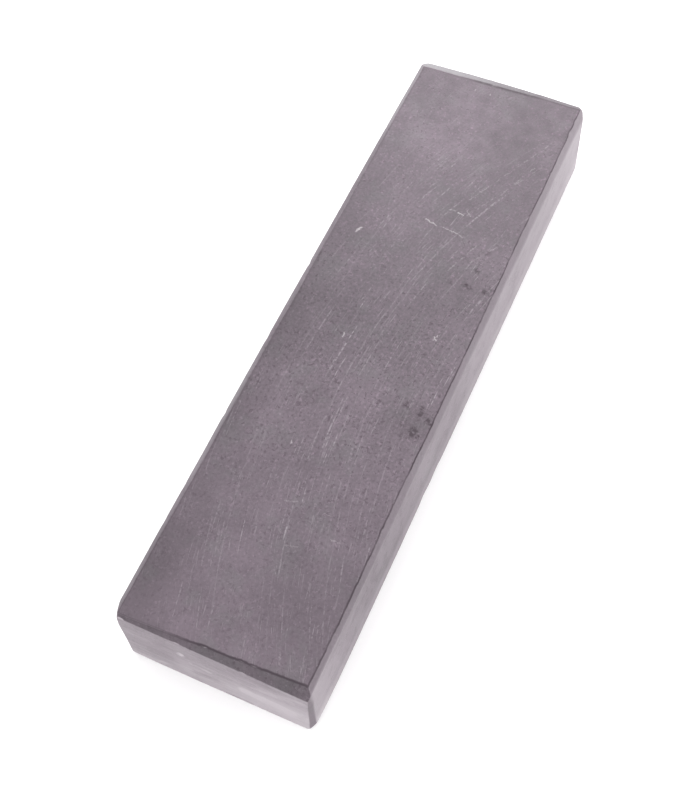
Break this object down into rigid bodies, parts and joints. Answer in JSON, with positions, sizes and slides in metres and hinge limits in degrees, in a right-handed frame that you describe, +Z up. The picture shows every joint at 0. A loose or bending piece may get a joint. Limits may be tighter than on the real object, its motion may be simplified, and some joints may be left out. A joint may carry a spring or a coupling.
{
  "type": "sharpening whetstone",
  "caption": "Rectangular bar of natural slaty sharpening stone with a flat honing face and hand-ground bevelled edges.",
  "frame": {"origin": "middle of the base, where the stone rests", "axes": "+X along the length towards the far end, +Y towards the left long side, +Z up through the honing face"},
  "size_m": [0.15, 0.04, 0.021],
  "materials": {
    "stone": "fine matte purple-grey slate, honed top with faint long scratches, paler sawn sides"
  },
  "bodies": {
    "root": {"whetstone_block": "stone"}
  },
  "joints": []
}
